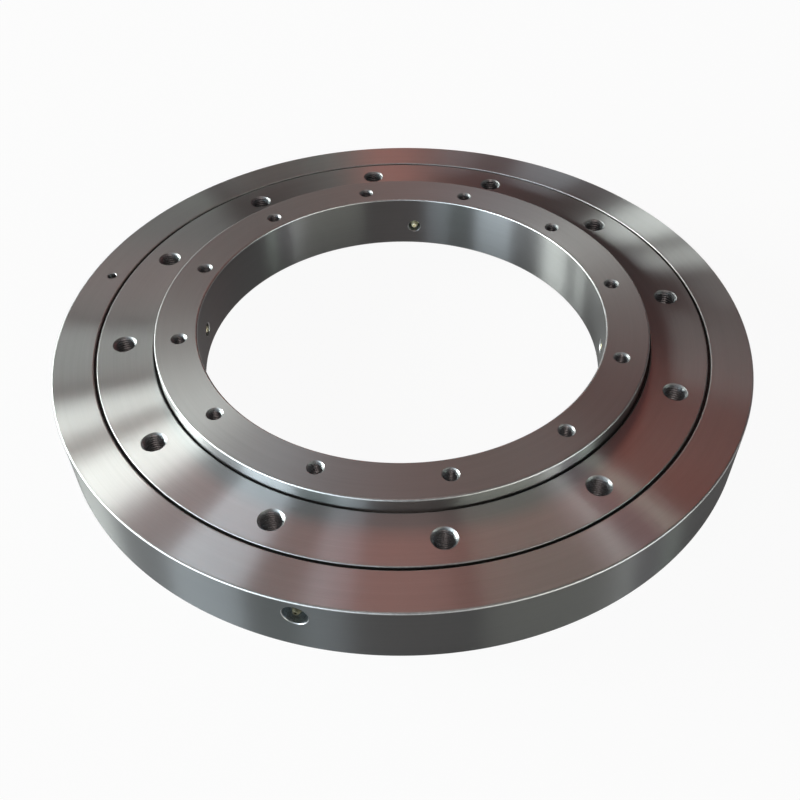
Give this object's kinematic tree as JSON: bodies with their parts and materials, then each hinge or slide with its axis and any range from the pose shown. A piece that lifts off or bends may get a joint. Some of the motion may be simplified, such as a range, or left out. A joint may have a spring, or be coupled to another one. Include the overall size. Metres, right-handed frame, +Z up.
{
  "type": "slewing ring bearing",
  "caption": "Flat slewing ring bearing without teeth: a raised inner ring and a middle ring turn on two races of balls inside a plain outer ring, sealed and drilled for bolts",
  "frame": {"origin": "on the rings' axis, in the plane of the outer ring's bottom face, on which the bearing lies", "axes": "+Z up along the rings' axis; the picture looks along +Y, from above; +X is to its right"},
  "size_m": [0.5, 0.5, 0.054],
  "materials": {
    "ring_steel": "turned and ground",
    "plug_steel": "turned",
    "ball_steel": "polished",
    "seal_rubber": "matte",
    "nipple_brass": "satin"
  },
  "bodies": {
    "outer_ring": {"outer_ring": "ring_steel", "outer_race_upper_seal": "seal_rubber", "outer_race_lower_seal": "seal_rubber", "outer_race_filling_plug": "plug_steel", "outer_race_plug_pin": "plug_steel", "outer_grease_nipple_1": "nipple_brass", "outer_grease_nipple_2": "nipple_brass", "outer_grease_nipple_3": "nipple_brass"},
    "middle_ring": {"middle_ring": "ring_steel", "inner_race_upper_seal": "seal_rubber", "inner_race_lower_seal": "seal_rubber"},
    "inner_ring": {"inner_ring": "ring_steel", "inner_race_filling_plug": "plug_steel", "inner_race_plug_pin": "plug_steel", "bore_grease_nipple_1": "nipple_brass", "bore_grease_nipple_2": "nipple_brass", "bore_grease_nipple_3": "nipple_brass", "bore_grease_nipple_4": "nipple_brass"},
    "outer_race_balls": {"outer_race_ball_train_01": "ball_steel", "outer_race_ball_train_02": "ball_steel", "outer_race_ball_train_03": "ball_steel", "outer_race_ball_train_04": "ball_steel", "outer_race_ball_train_05": "ball_steel", "outer_race_ball_train_06": "ball_steel", "outer_race_ball_train_07": "ball_steel", "outer_race_ball_train_08": "ball_steel", "outer_race_ball_train_09": "ball_steel", "outer_race_ball_train_10": "ball_steel", "outer_race_ball_train_11": "ball_steel", "outer_race_ball_train_12": "ball_steel"},
    "inner_race_balls": {"inner_race_ball_train_01": "ball_steel", "inner_race_ball_train_02": "ball_steel", "inner_race_ball_train_03": "ball_steel", "inner_race_ball_train_04": "ball_steel", "inner_race_ball_train_05": "ball_steel", "inner_race_ball_train_06": "ball_steel", "inner_race_ball_train_07": "ball_steel", "inner_race_ball_train_08": "ball_steel", "inner_race_ball_train_09": "ball_steel", "inner_race_ball_train_10": "ball_steel", "inner_race_ball_train_11": "ball_steel", "inner_race_ball_train_12": "ball_steel"}
  },
  "joints": [
    {"name": "middle_ring_turn", "type": "hinge", "parent": "outer_ring", "child": "middle_ring", "pos_m": [0, 0, 0], "axis": [0, 0, 1], "continuous": true},
    {"name": "inner_ring_turn", "type": "hinge", "parent": "middle_ring", "child": "inner_ring", "pos_m": [0, 0, 0], "axis": [0, 0, 1], "continuous": true},
    {"name": "outer_race_orbit", "type": "hinge", "parent": "outer_ring", "child": "outer_race_balls", "pos_m": [0, 0, 0], "axis": [0, 0, 1], "continuous": true},
    {"name": "inner_race_orbit", "type": "hinge", "parent": "middle_ring", "child": "inner_race_balls", "pos_m": [0, 0, 0], "axis": [0, 0, 1], "continuous": true}
  ],
  "couplings": [
    {"joint": "outer_race_orbit", "follows": "middle_ring_turn", "ratio": 0.48876},
    {"joint": "inner_race_orbit", "follows": "inner_ring_turn", "ratio": 0.48617}
  ]
}
